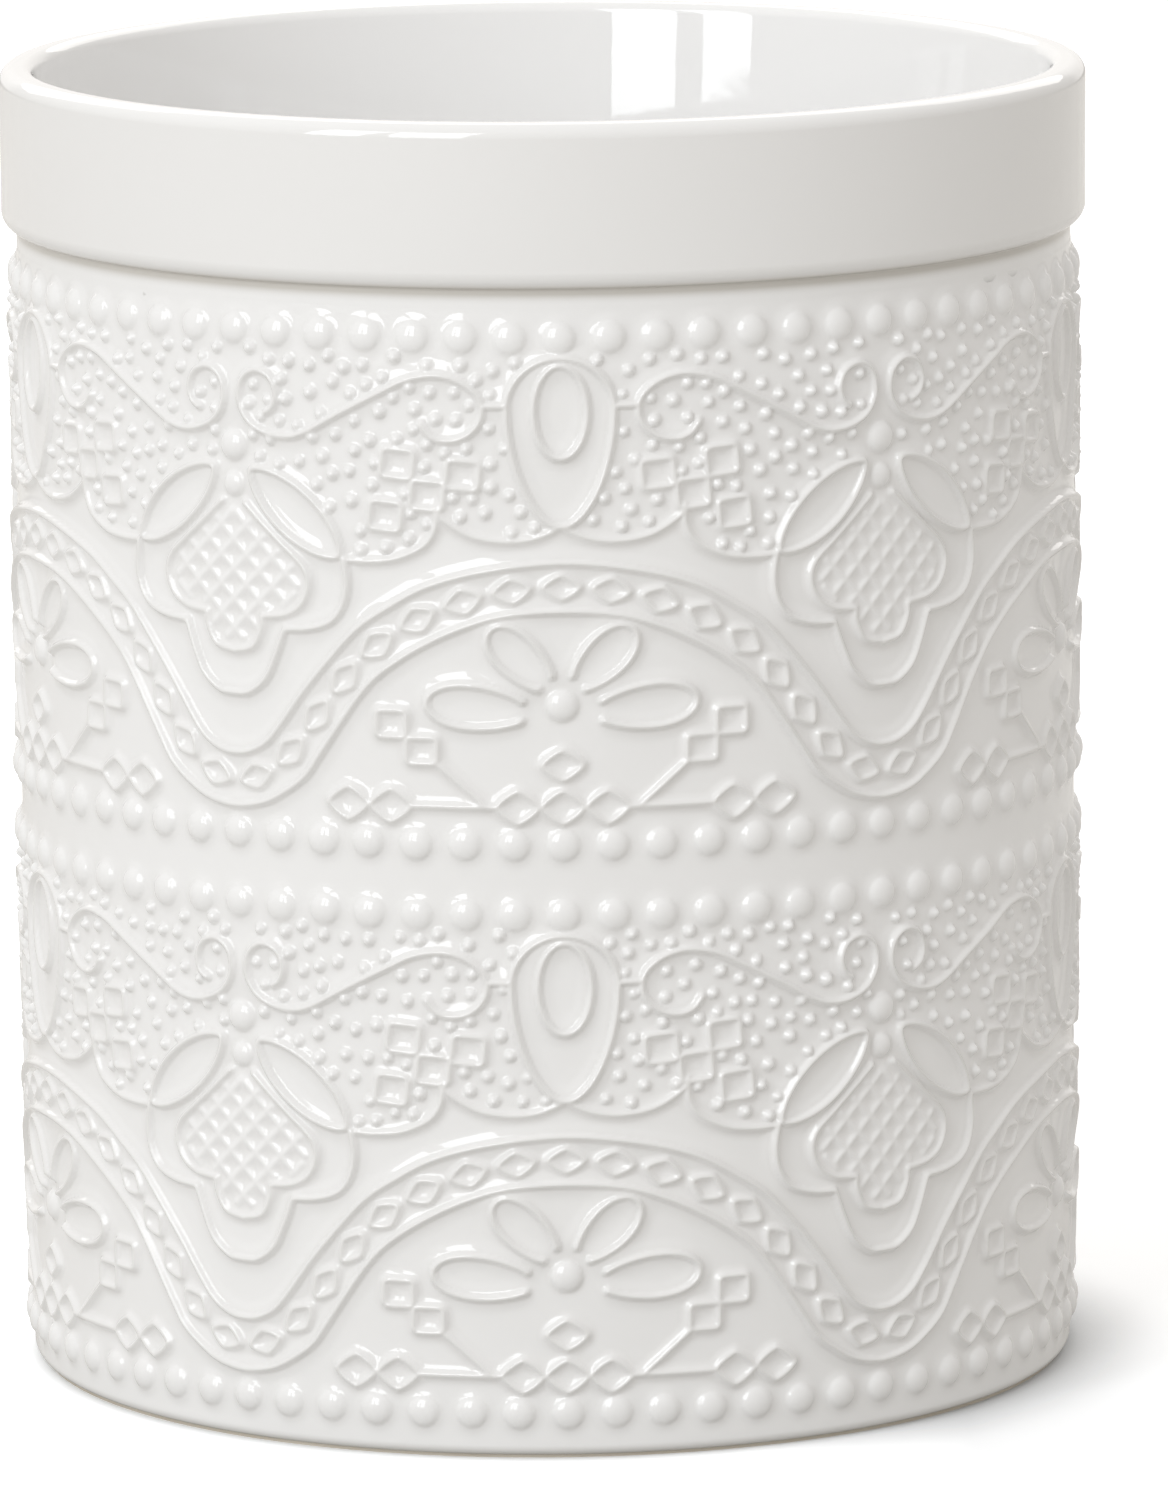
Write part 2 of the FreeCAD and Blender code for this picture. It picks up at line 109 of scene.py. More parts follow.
# The ornament is drawn in millimetres: across from the axis of the drop, up from the lower row of pearls
DRAWN_HALF = 45.87
DRAWN_TALL = 68.4
DRAWN_LIFT = 0.6
OVAL_POINTS = 61
DROP = {"up": 58.3, "half": 7.1, "rise": 6.8, "fall": 15.8}
DROP_OVAL = {"middle": (0, 57.9), "half": (3.55, 6.2)}
DROP_TICK = ((7.4, 58.7), (10.3, 58.7))
SCROLL = (
    (18.4, 56.1), (17.3, 54.7), (15.5, 54.0), (13.2, 54.3), (11.3, 55.6), (10.3, 57.6), (10.7, 59.8),
    (12.6, 61.6), (15.1, 62.6), (17.6, 62.7), (20.6, 62.0), (23.6, 60.5), (29.6, 57.3), (34.6, 54.5),
    (37.6, 53.7), (40.6, 54.1), (43.2, 55.5), (44.6, 58.0), (44.2, 60.9), (42.2, 62.4), (39.9, 61.7),
    (38.9, 59.6), (39.4, 57.6), (40.5, 56.8),
)
SCALLOPS = (
    ((0, 42.4), (3.6, 40.9), (7.6, 40.5), (12.0, 41.3), (15.8, 43.6), (16.5, 45.0)),
    ((16.5, 45.0), (16.6, 42.3), (18.2, 39.8), (22, 38.0), (26, 37.5), (29.2, 37.6)),
)
CHECKS = ((12.9, 49.4), (21.65, 50.8), (17.65, 46.6), (23.35, 43.7))
CHECK_HALF = (2.15, 1.9)
CHECK_TILT = math.radians(5)
LEAF_POINT = 1.39
LEAF = {"middle": (36.3, 43.5), "half": (8.5, 3.1), "tilt": math.radians(40)}
PALMETTE = (
    ((29.2, 37.7), (28.8, 34.3), (29.4, 31.3), (31.1, 29.1), (34.1, 28.0), (37.9, 27.6)),
    ((37.9, 27.6), (39.3, 23.9), (40.9, 20.7), (43.5, 18.7), (45.87, 18.4)),
)
CLOVER = (
    ((44.0, 44.3), (41.2, 41.7), (37.9, 38.8), (35.2, 36.3), (34.4, 33.9), (35.4, 31.2),
     (37.8, 29.6), (41.4, 29.1)),
    ((41.4, 29.1), (41.5, 27.4), (42.9, 24.9), (45.87, 24.1)),
)
CLOVER_MIDDLE = (DRAWN_HALF, 35.2)
LATTICE_PITCH = 2.85
LATTICE_SHARE = 0.86
LATTICE_LINES = range(-5, 6)
LATTICE_LENGTHS = np.arange(-16, 16, 0.3)
RAILS = (
    ((0, 37.6), (9.6, 36.6), (17.6, 34.4), (23.5, 31.1), (27.4, 28.3), (31.2, 24.2), (35.1, 19.5),
     (38.7, 14.6), (40.9, 12.1), (43.4, 10.7), (45.87, 10.3)),
    ((0, 31.1), (7.6, 30.5), (13.6, 28.7), (19.4, 25.8), (24.3, 22.4), (27.2, 19.3), (30.1, 15.2),
     (33.1, 10.7), (35.2, 7.8), (38.4, 5.4), (41.6, 3.8), (45.87, 3.1)),
)
RAIL_POINTS = 80
LOZENGES = 17
LOZENGE_SHARE = 0.37
LOZENGE_HALF = 1.6
PETALS = (
    {"middle": (11.1, 18.1), "half": (6.9, 2.85), "tilt": math.radians(5)},
    {"middle": (5.5, 24.7), "half": (5.5, 2.7), "tilt": math.radians(45)},
)
PETAL_OPEN = math.radians(34)
PETAL_LEAN = 0.18
DIAMONDS = (
    ((0, 10.3), (2.7, 2.0)),
    ((0, 4.6), (2.8, 2.2)),
    ((5.95, 4.6), (2.8, 2.2)),
    ((23.0, 4.6), (2.8, 2.2)),
    ((28.9, 4.7), (2.8, 2.2)),
)
CHAIN = ((9.0, 4.6), (20.1, 4.6))
STEP_LINE = ((10.4, 4.8), (16.5, 10.2))
STEPS = (((18.7, 12.1), (2.05, 1.75)), ((22.8, 15.65), (2.05, 1.8)))
SQUARE = 7.0
DIAMOND = 1.25
BEADS = (((DRAWN_HALF, 52.0), 2.2), ((DRAWN_HALF, 46.7), 1.75), ((0, 18.3), 2.2))
BEAD_RISE_SHARE = 0.55
PEARLS = 14

# The ground for dots: its border above the scallops, and where trying out places for them starts
DOT_BORDER = ((43.0, 50.4), (43.6, 52.5), (43.6, 65.4), (0, 65.4))
DOT_GROUND = ((-43.6, 38.0), (43.6, 65.4))
DOT_TRIES = 9000
DOT_SPACINGS = (2.95, 2.7, 2.5)
DOT_CLEARANCE = 1.05

# Relief in millimetres: a line's half width and rise, or a ball's radius and rise
LINE = (0.62, 1.25)
FINE_LINE = (0.58, 1.02)
LATTICE_LINE = (0.78, 0.68)
RIDGE_POWER = 2.2
REACH = 2.4
NO_LINE_NEAR = 9.0
PEARL = (2.3, 1.25)
PEARL_UNEVEN = (0.06, 0.015)
DOT = (0.84, 1.1)
DOT_UNEVEN = (0.05, 0.06)
SEED = 41

# The coat of glaze in millimetres: its softness, its fillets as (width, share of the relief), its slow waves
THIN_GLAZE = 0.15
WIDE_FILLET = (1.1, 1.1)
NARROW_FILLET = (0.55, 0.88)
BALL_FILLET = (0.42, 0.6)
PEARL_FILLET = (0.85, 0.84)
MELT = 0.06
RELIEF_WAVES = {"rise": 0.06, "length": 14.0}
WALL_WAVES = {"rise": 0.03, "length": 30.0}
SHELL_WAVES = {"rise": 0.03, "length": 40.0, "start": 3, "fade": 4}

# Depth of the glaze's warm grey, partly glaze colour and partly painted shade, where 1 is a hollow in the
# relief, and how far it reaches in millimetres
# painted shade in the hollows of the relief, partly glaze pooled thicker there
HOLLOW_POOLING_AND_SHADE = {"width": 0.6, "depth": 0.12}
THIN_CREST = {"tint_and_painted_shade": 1.7, "reach": 0.42}
EDGE_TINT = 2.8
# painted shade in the crease under the collar and just below it: its depth, reach and margins
CREASE_PAINTED_SHADE = 9.0
CREASE_REACH = (0.9, 0.85)
CREASE_MARGINS = (0.5, 0.2)
# painted shade over the collar's face
COLLAR_PAINTED_SHADE = 1.1
COLLAR_FADE = 1.0

# Colours
GLAZE_WHITES = ((0.91, 0.908, 0.903, 1), (0.925, 0.924, 0.921, 1))
# warm grey of thin or pooled glaze, also used as painted shade
GLAZE_TINT_AND_SHADE = (0.64, 0.617, 0.575, 1)
GLAZE_TINT_AND_SHADE_SHARE = 0.115
CLAY_TONES = ((0.58, 0.52, 0.43, 1), (0.72, 0.67, 0.58, 1))
FLOOR_BOUNCE = (0.53, 0.52, 0.50, 1)
FLOOR_MIRRORED = (0.70, 0.69, 0.67, 1)
# painted contact shadow and the floor's white
FLOOR_PAINTED_SHADOW_AND_WHITE = ((0.57, 0.58, 0.59, 1), (0.965, 0.98, 1.0, 1))
WINDOW_COLOUR = (0.925, 0.962, 1.0)
BACKLIGHT_COLOUR = (1.0, 0.985, 0.96)
ROOM_COLOUR = (1.0, 0.972, 0.94, 1)
WHITE = (1, 1, 1, 1)

# Brightness of the lamps and of the room round the crock, and the lamps' places in metres and degrees
WINDOW = 3.52
BACKLIGHT = 1.3
ROOM = 0.728
PANES = (("window_left", -46.0, (0.68, 2.16)), ("window_right", -26.0, (0.90, 2.16)))
PANE_PLACE = {"elevation": 26.0, "distance": 3.2}
BACKLIGHT_PLACE = {"azimuth": 180.0, "elevation": 38.0, "distance": 1.8}
BACKLIGHT_SIZE = (2.6, 1.2)
LAMP_TARGET = (0, 0, 0.09)
FLOOR_HALF = 4.0

# The photograph's camera: lens, sensor and place in millimetres, angles in degrees
LENS = 276.6
SENSOR = 36.0
CAMERA_PLACE = (0, -1584.0, 365.4)
YAW_PITCH_ROLL = (0.183, 10.071, -0.45)
CAMERA_TURN = -1.554
FAR_CLIP = 20.0


def smooth(points, before=None, after=None, step=0.4):
    """A smooth line through points; points before and after them set its direction at the ends."""
    inner = [np.array(p, float) for p in points]
    before = 2 * inner[0] - inner[1] if before is None else np.array(before, float)
    after = 2 * inner[-1] - inner[-2] if after is None else np.array(after, float)
    knots = [before, *inner, after]
    made = []
    for a, b, c, d in zip(knots, knots[1:], knots[2:], knots[3:]):
        count = max(2, int(np.linalg.norm(c - b) / step))
        t = np.arange(count)[:, None] / count
        made.append(
            b
            + 0.5 * t * (c - a)
            + t**2 * (a - 2.5 * b + 2 * c - 0.5 * d)
            + t**3 * (1.5 * (b - c) + 0.5 * (d - a))
        )
    made.append(inner[-1][None])
    return np.concatenate(made)


def resampled(line, count):
    """A line with its points replaced by count points."""
    share, own = np.linspace(0, 1, count), np.linspace(0, 1, len(line))
    return np.stack([np.interp(share, own, line[:, k]) for k in (0, 1)], axis=1)


def flipped(line):
    """The same line on the other side of the drop's axis."""
    return line * (-1, 1)


def oval(middle, half, tilt=0.0, gap=0.0, power=2.0, lean=0.0):
    """A round line, open by an angle at its inner end. Power 1 makes a diamond, a high power a square."""
    turn = np.linspace(-math.pi + gap, math.pi - gap, OVAL_POINTS)
    ways = (np.cos(turn), np.sin(turn))
    across, up = (h * np.sign(w) * np.abs(w) ** (2 / power) for h, w in zip(half, ways))
    up = up * (1 + lean * np.cos(turn))
    return np.stack(
        (
            middle[0] + across * math.cos(tilt) - up * math.sin(tilt),
            middle[1] + across * math.sin(tilt) + up * math.cos(tilt),
        ),
        axis=1,
    )


def leaf_line(middle, half, tilt):
    """The outline of a leaf with both ends pointed."""
    turn = np.linspace(-math.pi, math.pi, OVAL_POINTS)
    up = half[1] * np.sign(np.sin(turn)) * np.abs(np.sin(turn)) ** LEAF_POINT
    line = np.stack((half[0] * np.cos(turn), up), axis=1)
    return line @ ((math.cos(tilt), math.sin(tilt)), (-math.sin(tilt), math.cos(tilt))) + middle


def inside(line, across, up):
    """Which points lie inside a closed line."""
    found = np.zeros(np.shape(across), bool)
    for (x0, y0), (x1, y1) in zip(line, np.roll(line, -1, axis=0)):
        if y0 == y1:
            continue
        crosses = (y0 > up) != (y1 > up)
        found ^= crosses & (across < x0 + (up - y0) * (x1 - x0) / (y1 - y0))
    return found


def evenly(line, count, nudge=0.3):
    """Points and directions at the middles of count even lengths of a line, and that length."""
    lengths = np.concatenate(((0,), np.cumsum(np.linalg.norm(np.diff(line, axis=0), axis=1))))
    places = (np.arange(count) + 0.5) / count * lengths[-1]
    at, behind, ahead = (
        np.stack([np.interp(p, lengths, line[:, k]) for k in (0, 1)], axis=1)
        for p in (places, places - nudge, places + nudge)
    )
    heading = ahead - behind
    return at, heading / np.linalg.norm(heading, axis=1)[:, None], lengths[-1] / count


def drop_line():
    """The teardrop: half an oval above its widest place, drawn in to a tip below."""
    turn = np.linspace(0, math.pi, 24)
    top = np.stack((DROP["half"] * np.cos(turn), DROP["up"] + DROP["rise"] * np.sin(turn)), axis=1)
    share = np.sin(np.linspace(0, math.pi / 2, 28))
    narrowing = np.sqrt(np.cos(math.pi / 2 * share) + TINY)
    side = np.stack((-DROP["half"] * narrowing, DROP["up"] - DROP["fall"] * share), axis=1)
    return np.concatenate((top, side, flipped(side)[::-1]))


def lattice_lines(border):
    """Slanting lines both ways across the clover, cut off short of its border."""
    middle = np.array(CLOVER_MIDDLE)
    border = middle + (border - middle) * LATTICE_SHARE
    made = []
    for way in (1, -1):
        for n in LATTICE_LINES:
            start = middle + np.array((way, -1)) * n * LATTICE_PITCH / math.sqrt(2)
            line = start + LATTICE_LENGTHS[:, None] * np.array((1, way)) / math.sqrt(2)
            kept = line[inside(border, line[:, 0], line[:, 1])]
            if len(kept) > 3:
                made.append(kept)
    return made


def rail_lines():
    """The right halves of the two wavy rails."""
    made = []
    for rail in RAILS:
        before = (-rail[1][0], rail[1][1])
        after = (2 * DRAWN_HALF - rail[-2][0], rail[-2][1])
        made.append(smooth(rail, before, after))
    return made


def lozenge_lines(rails):
    """The chain of lozenges midway between the two rails."""
    upper, lower = (resampled(rail, RAIL_POINTS) for rail in rails)
    middle = (upper + lower) / 2
    middle = np.concatenate((flipped(middle)[:0:-1], middle))
    places, headings, pitch = evenly(middle, LOZENGES)
    half = (pitch * LOZENGE_SHARE, LOZENGE_HALF)
    return [oval(p, half, math.atan2(h[1], h[0]), power=DIAMOND) for p, h in zip(places, headings)]


def drawing():
    """Every line of one repeat of a tier with its kind, and the closed outlines that hold no dots."""
    drop = drop_line()
    leaf = leaf_line(**LEAF)
    checks = [oval(place, CHECK_HALF, CHECK_TILT, power=SQUARE) for place in CHECKS]
    clover = np.concatenate([smooth(c) for c in CLOVER])
    rails = rail_lines()
    sides = [
        (np.array(DROP_TICK, float), LINE),
        (smooth(SCROLL), LINE),
        *((smooth(s), FINE_LINE) for s in SCALLOPS),
        (leaf, LINE),
        *((smooth(p), LINE) for p in PALMETTE),
        *((oval(**p, gap=PETAL_OPEN, lean=PETAL_LEAN), LINE) for p in PETALS),
        (np.array(CHAIN), FINE_LINE),
        (np.array(STEP_LINE), FINE_LINE),
        *((oval(middle, half, power=SQUARE), FINE_LINE) for middle, half in STEPS),
        *((check, FINE_LINE) for check in checks),
        *((oval(middle, half, power=DIAMOND), FINE_LINE) for middle, half in DIAMONDS),
        (clover, FINE_LINE),
        *((rail, LINE) for rail in rails),
    ]
    lines = [(drop, LINE), (oval(**DROP_OVAL), LINE)]
    for points, kind in sides:
        lines += [(points, kind), (flipped(points), kind)]
    border = np.concatenate((clover, (flipped(clover) + (2 * DRAWN_HALF, 0))[::-1]))
    lines += [(line, LATTICE_LINE) for line in lattice_lines(border)]
    lines += [(line, FINE_LINE) for line in lozenge_lines(rails)]
    bare = [drop]
    for line in (*checks, leaf):
        bare += [line, flipped(line)]
    return lines, bare


def blurred(relief, width, steps):
    """The relief softened over a width, round the wall and up it."""
    made = relief
    for axis, step in enumerate(steps):
        reach = int(math.ceil(3 * width / step))
        offsets = np.arange(-reach, reach + 1)
        weights = np.exp(-((offsets * step / width) ** 2) / 2)
        weights /= weights.sum()
        pad = [(0, 0), (0, 0)]
        pad[axis] = (reach, reach)
        padded = np.pad(made, pad, mode="wrap" if axis else "edge")
        size = made.shape[axis]
        made = sum(w * np.take(padded, np.arange(size) + n, axis=axis) for n, w in enumerate(weights))
    return made


def melted(one, other):
    """The higher of two reliefs, with a soft change from one to the other."""
    return (one + other + np.sqrt((one - other) ** 2 + MELT**2) - MELT) / 2


def waves(angle, height, seed, length, count=7):
    """A slow random unevenness round the crock, as a sum of waves that close on themselves."""
    rng = np.random.default_rng(seed)
    total = np.zeros(np.broadcast(angle, height).shape)
    for _ in range(count):
        rounds = rng.integers(1, max(2, int(2 * math.pi * WALL_RADIUS / length)))
        up = rng.uniform(-1, 1) * 2 * math.pi / length
        total = total + np.sin(rounds * angle + up * height + rng.uniform(0, 2 * math.pi))
    return total / math.sqrt(count)


def round_the_axis(radius, angle, height):
    """Points at a radius and an angle from the front, the front being on the -Y side."""
    radius, angle, height = np.broadcast_arrays(radius, angle, height)
    return np.stack((radius * np.sin(angle), -radius * np.cos(angle), height), axis=2)


def grid_normals(points):
    """Outward normals of a grid of points that has one column to spare at each side."""
    across = points[:, 2:] - points[:, :-2]
    up = np.gradient(points, axis=0)[:, 1:-1]
    normals = np.cross(across, up)
    return normals / np.linalg.norm(normals, axis=2)[:, :, None]


class Wall:
    """The outside of the wall, unrolled: even steps round one repeat and up from foot to neck."""

    def __init__(self):
        top = COLLAR_FOOT - NECK_JOIN
        straight = top - WALL_FOOT - BASE_ROUND
        quarter = math.pi / 2
        base = BASE_ROUND * quarter
        self.rows = round((base + straight) / STEP) + 1
        self.columns = round(2 * HALF_REPEAT / STEP)
        along = np.linspace(0, base + straight, self.rows)
        turn = np.clip(along / BASE_ROUND, 0, quarter)
        self.height = WALL_FOOT + BASE_ROUND * (1 - np.cos(turn)) + np.maximum(along - base, 0)
        full = np.clip((top - self.height) / BULGE_FADE, 0, 1)
        swell = BULGE * full**2 * (3 - 2 * full) - TAPER * np.clip(1 - self.height / TIERS[0][2], 0, 1)
        self.radius = WALL_RADIUS - BASE_ROUND * (1 - np.sin(turn)) + swell
        self.out = np.sin(turn)
        self.rise = -np.cos(turn)
        self.fade = np.clip(np.minimum(self.height - WALL_FOOT - BASE_ROUND, top - self.height), 0, 1)
        self.edge = np.clip((WALL_FOOT + BASE_ROUND - self.height) / BASE_ROUND, 0, 1)
        self.step_up = along[1]
        self.step_across = 2 * HALF_REPEAT / self.columns
        self.steps = (self.step_up, self.step_across)
        self.along_foot = WALL_FOOT + BASE_ROUND - base
        self.along = along + self.along_foot

    def level(self, value=0.0):
        """One value for each point of the unrolled wall."""
        return np.full((self.rows, self.columns), value)

    def window(self, low, high):
        """Row and column numbers of the part of the wall between two corners; columns wrap round."""
        r0 = max(0, int((low[1] - self.along_foot) / self.step_up))
        r1 = min(self.rows, int((high[1] - self.along_foot) / self.step_up) + 2)
        c0 = int(math.floor((low[0] + HALF_REPEAT) / self.step_across))
        c1 = int(math.ceil((high[0] + HALF_REPEAT) / self.step_across)) + 1
        return np.arange(r0, r1), np.arange(c0, c1)

    def raise_line(self, relief, gap, points, half_width, rise):
        """Raises a ridge along a line, and keeps each place's distance from the nearest line."""
        for a, b in zip(points, points[1:]):
            rows, columns = self.window(np.minimum(a, b) - REACH, np.maximum(a, b) + REACH)
            x = -HALF_REPEAT + columns[None, :] * self.step_across - a[0]
            y = self.along[rows][:, None] - a[1]
            way = b - a
            t = np.clip((x * way[0] + y * way[1]) / max(way @ way, TINY), 0, 1)
            far = np.hypot(x - t * way[0], y - t * way[1])
            place = np.ix_(rows, columns % self.columns)
            gap[place] = np.minimum(gap[place], far)
            ridge = rise * np.exp(-((far / half_width) ** RIDGE_POWER))
            relief[place] = np.maximum(relief[place], ridge)

    def raise_ball(self, relief, gap, middle, radius, rise):
        """Raises a round dome."""
        rows, columns = self.window(np.array(middle) - radius - REACH, np.array(middle) + radius + REACH)
        x = -HALF_REPEAT + columns[None, :] * self.step_across - middle[0]
        y = self.along[rows][:, None] - middle[1]
        far = np.hypot(x, y)
        dome = rise * np.sqrt(np.maximum(1 - (far / radius) ** 2, 0))
        place = np.ix_(rows, columns % self.columns)
        gap[place] = np.minimum(gap[place], far - radius)
        relief[place] = np.maximum(relief[place], dome)

    def tint_and_painted_shade(self, glazed, crest):
        """Depth of warm grey on the glaze: painted shade and pooled glaze in hollows, thin glaze on the
        crests of lines and at the rounded foot.
        """
        hollow = blurred(glazed, HOLLOW_POOLING_AND_SHADE["width"], self.steps) - glazed
        around = np.arange(self.columns + 1) % self.columns
        relief_tint_and_painted_shade = (np.clip(hollow / HOLLOW_POOLING_AND_SHADE["depth"], 0, 1) + crest)[:, around]
        return relief_tint_and_painted_shade + EDGE_TINT * self.edge[:, None]

    def bent(self, repeat, glazed):
        """Points and normals of one repeat with its relief, bent round the axis."""
        spare = np.arange(-1, self.columns + 2)
        angle = (repeat * 2 * HALF_REPEAT - HALF_REPEAT + spare * self.step_across) / WALL_RADIUS
        angle, height = angle[None, :], self.height[:, None]
        relief = glazed[:, spare % self.columns]
        relief = relief * (1 + RELIEF_WAVES["rise"] * waves(angle, height, SEED, RELIEF_WAVES["length"]))
        relief = relief + WALL_WAVES["rise"] * waves(angle, height, SEED + 1, WALL_WAVES["length"])
        relief = relief * self.fade[:, None]
        radius = self.radius[:, None] + relief * self.out[:, None]
        points = round_the_axis(radius, angle, height + relief * self.rise[:, None])
        return points[:, 1:-1], grid_normals(points)


def placed(points, low, high):
    """Drawn points put on the unrolled wall, between a tier's two rows of pearls."""
    across = HALF_REPEAT / DRAWN_HALF
    up = (high - low) / DRAWN_TALL
    return np.asarray(points, float) * (across, up) + (0, low + DRAWN_LIFT)


def scatter(rng, gap, wall, low, high, bare):
    """Places for the dots between the scallops and the upper pearls, clear of every line."""
    region = np.concatenate([smooth(s) for s in SCALLOPS] + [DOT_BORDER])
    tries = rng.uniform(*DOT_GROUND, (DOT_TRIES, 2))
    kept = inside(region, np.abs(tries[:, 0]), tries[:, 1])
    for line in bare:
        kept &= ~inside(line, tries[:, 0], tries[:, 1])
    spots = placed(tries[kept], low, high)
    rows = np.clip(((spots[:, 1] - wall.along_foot) / wall.step_up).astype(int), 0, wall.rows - 1)
    columns = ((spots[:, 0] + HALF_REPEAT) / wall.step_across).astype(int) % wall.columns
    spots = spots[gap[rows, columns] > DOT_CLEARANCE]
    taken = []
    for spacing in DOT_SPACINGS:
        for spot in spots:
            if all(np.hypot(*(spot - t)) > spacing for t in taken):
                taken.append(spot)
    return taken


def raise_drawing(wall, lines):
    """Both tiers' wide lines, fine lines and beads, the distance from them, and the crests' tint."""
    wide, fine, beads = wall.level(), wall.level(), wall.level()
    gap, lattice_gap = wall.level(NO_LINE_NEAR), wall.level(NO_LINE_NEAR)
    for _, low, high in TIERS:
        for points, kind in lines:
            relief = wide if kind is LINE else fine
            nearest = lattice_gap if kind is LATTICE_LINE else gap
            wall.raise_line(relief, nearest, placed(points, low, high), *kind)
    crest = THIN_CREST["tint_and_painted_shade"] * np.exp(-((gap / THIN_CREST["reach"]) ** 2))
    gap = np.minimum(gap, lattice_gap)
    for _, low, high in TIERS:
        for middle, radius in BEADS:
            wall.raise_ball(beads, gap, placed(middle, low, high), radius, BEAD_RISE_SHARE * radius)
    return wide, fine, beads, gap, crest


def raise_balls(wall, rng, beads, gap, bare):
    """One repeat's beads and dots, and its pearls; only the pearl on the seam is even."""
    balls, gap = beads.copy(), gap.copy()
    pearls = wall.level()
    for _, low, high in TIERS:
        for row in (low, high):
            for pearl in range(PEARLS):
                across = (2 * pearl / PEARLS - 1) * HALF_REPEAT
                uneven = (0.0, 0.0) if pearl == 0 else PEARL_UNEVEN
                shift = rng.normal(0, uneven[0], 2)
                size = rng.normal(1, uneven[1])
                place = (across + shift[0], row + shift[1])
                wall.raise_ball(pearls, gap, place, *(size * p for p in PEARL))
        for spot in scatter(rng, gap, wall, low, high, bare):
            radius, rise = (d * rng.normal(1, spread) for d, spread in zip(DOT, DOT_UNEVEN))
            wall.raise_ball(balls, gap, spot, radius, rise)
    return balls, pearls


def glazed_over(wall, wide, fine, balls, pearls):
    """The relief under its glaze, which softens it and fills the corners beside it."""
    glazed = blurred(np.max((wide, fine, balls, pearls), axis=0), THIN_GLAZE, wall.steps)
    fillets = ((wide, WIDE_FILLET), (fine, NARROW_FILLET), (balls, BALL_FILLET), (pearls, PEARL_FILLET))
    for relief, (width, share) in fillets:
        glazed = melted(glazed, share * blurred(relief, width, wall.steps))
    return glazed


def new_mesh(name, points, normals, faces, corners_uv, tint_and_painted_shade):
    """A smooth mesh of four-sided faces with its own normals, flat layout and depth of warm grey, partly
    painted shade.
    """
    mesh = bpy.data.meshes.new(name)
    mesh.vertices.add(len(points))
    mesh.vertices.foreach_set("co", (points * MM).astype(np.float32).ravel())
    mesh.loops.add(faces.size)
    mesh.loops.foreach_set("vertex_index", faces.astype(np.int32).ravel())
    mesh.polygons.add(len(faces))
    mesh.polygons.foreach_set("loop_start", np.arange(0, faces.size, 4, dtype=np.int32))
    mesh.update(calc_edges=True)
    mesh.polygons.foreach_set("use_smooth", np.ones(len(faces), bool))
    layout = mesh.uv_layers.new(name="OFBake")
    layout.data.foreach_set("uv", corners_uv.astype(np.float32).ravel())
    attribute = mesh.attributes.new("tint_and_painted_shade", "FLOAT", "POINT")
    attribute.data.foreach_set("value", tint_and_painted_shade.astype(np.float32).ravel())
    mesh.normals_split_custom_set_from_vertices(normals.astype(np.float32))
    made = bpy.data.objects.new(name, mesh)
    bpy.context.scene.collection.objects.link(made)
    return made


def grid_faces(rows, columns, margin=0.004):
    """Corner numbers of the faces of a grid of points, and their places in a flat layout."""
    first = (np.arange(rows - 1)[:, None] * columns + np.arange(columns - 1)[None, :]).ravel()
    faces = np.stack((first, first + 1, first + columns + 1, first + columns), axis=1)
    u, v = faces % columns / (columns - 1), faces // columns / (rows - 1)
    return faces, margin + (1 - 2 * margin) * np.stack((u, v), axis=2)


def make_relief_panels(glaze):
    """Ten pieces of the glazed outside wall: five repeats in two tiers."""
    wall = Wall()
    lines, bare = drawing()
    wide, fine, beads, gap, crest = raise_drawing(wall, lines)
    middle_row = int(np.searchsorted(wall.height, (TIERS[0][2] + TIERS[1][1]) / 2))
    halves = {"lower": (0, middle_row + 1), "upper": (middle_row, wall.rows)}
    for repeat in range(REPEATS):
        balls, pearls = raise_balls(wall, np.random.default_rng(SEED + repeat), beads, gap, bare)
        glazed = glazed_over(wall, wide, fine, balls, pearls)
        points, normals = wall.bent(repeat, glazed)
        tint_and_painted_shade = wall.tint_and_painted_shade(glazed, crest)
        for tier, (first, last) in halves.items():
            faces, layout = grid_faces(last - first, wall.columns + 1)
            piece = new_mesh(
                f"glazed_wall_{tier}_{repeat + 1}",
                points[first:last].reshape(-1, 3),
                normals[first:last].reshape(-1, 3),
                faces,
                layout,
                tint_and_painted_shade[first:last],
            )
            piece.data.materials.append(glaze)
            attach(piece, "root")
            shown = [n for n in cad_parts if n.startswith(tier + "_")]
            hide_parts("crock_wall", *shown)


def arc(middle, radius, start, end, count):
    """Points on a round part of the profile, by angle in degrees."""
    turn = np.radians(np.linspace(start, end, count))
    return [(middle[0] + radius * math.cos(t), middle[1] + radius * math.sin(t)) for t in turn]


